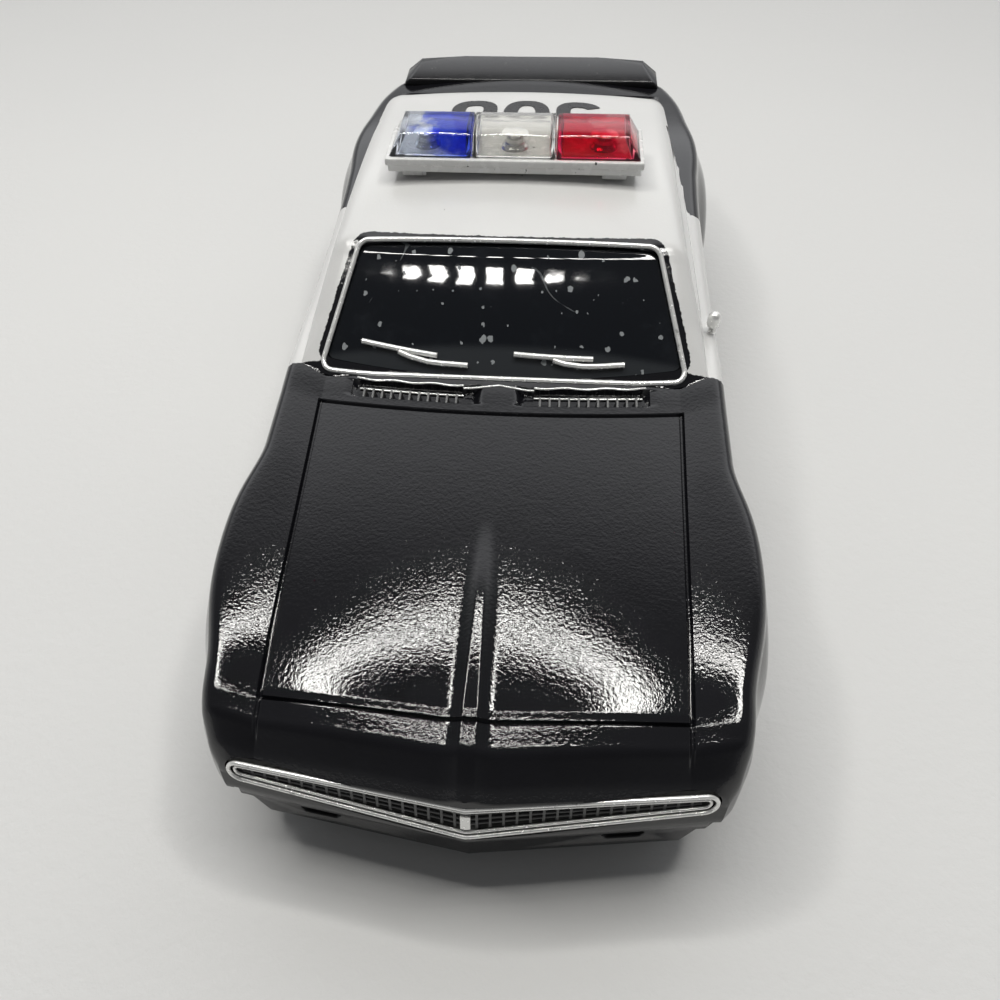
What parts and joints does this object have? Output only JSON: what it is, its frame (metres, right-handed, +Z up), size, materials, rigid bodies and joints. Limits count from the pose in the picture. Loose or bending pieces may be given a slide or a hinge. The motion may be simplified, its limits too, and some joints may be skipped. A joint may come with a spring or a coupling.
{
  "type": "toy police car",
  "caption": "Die-cast toy coupe in black and white police colours with flared arches, a roof light bar with blue, clear and red lenses, and free-rolling wheels.",
  "frame": {"origin": "bottom centre of the overall box, on the floor under the tyres", "axes": "-Y towards the nose, +X towards the driver's side, +Z up"},
  "size_m": [0.0322, 0.0738, 0.0235],
  "materials": {
    "body_paint": "gloss enamel, white on roof and doors",
    "smoked_window": "smoked clear moulding",
    "bright_trim": "silver paint and plating",
    "black_plastic": "gloss black",
    "tail_red": "translucent red",
    "white_plastic": "gloss white",
    "blue_lens": "clear blue",
    "clear_lens": "clear",
    "red_lens": "clear red",
    "base_plastic": "fine grain",
    "interior_plastic": "fine grain",
    "rivet_steel": "bare",
    "axle_steel": "bare",
    "plated_rim": "plated",
    "tyre_rubber": "matte"
  },
  "bodies": {
    "car": {"body_shell": "body_paint", "window_insert": "smoked_window", "wipers": "bright_trim", "grille_insert": "bright_trim", "front_bumper": "black_plastic", "rear_bumper": "black_plastic", "tail_lamps": "tail_red", "rear_spoiler": "black_plastic", "driver_mirror": "bright_trim", "lightbar_base": "white_plastic", "lens_blue": "blue_lens", "lens_clear": "clear_lens", "lens_red": "red_lens", "beacon_drums": "bright_trim", "chassis_plate": "base_plastic", "interior_tub": "interior_plastic", "base_rivets": "rivet_steel"},
    "front_wheelset": {"front_axle": "axle_steel", "rim_front_left": "plated_rim", "tyre_front_left": "tyre_rubber", "rim_front_right": "plated_rim", "tyre_front_right": "tyre_rubber"},
    "rear_wheelset": {"rear_axle": "axle_steel", "rim_rear_left": "plated_rim", "tyre_rear_left": "tyre_rubber", "rim_rear_right": "plated_rim", "tyre_rear_right": "tyre_rubber"}
  },
  "joints": [
    {"name": "front_roll", "type": "hinge", "parent": "car", "child": "front_wheelset", "pos_m": [0, -0.0221, 0.0052], "axis": [1, 0, 0], "continuous": true},
    {"name": "rear_roll", "type": "hinge", "parent": "car", "child": "rear_wheelset", "pos_m": [0, 0.0208, 0.0052], "axis": [1, 0, 0], "continuous": true}
  ]
}
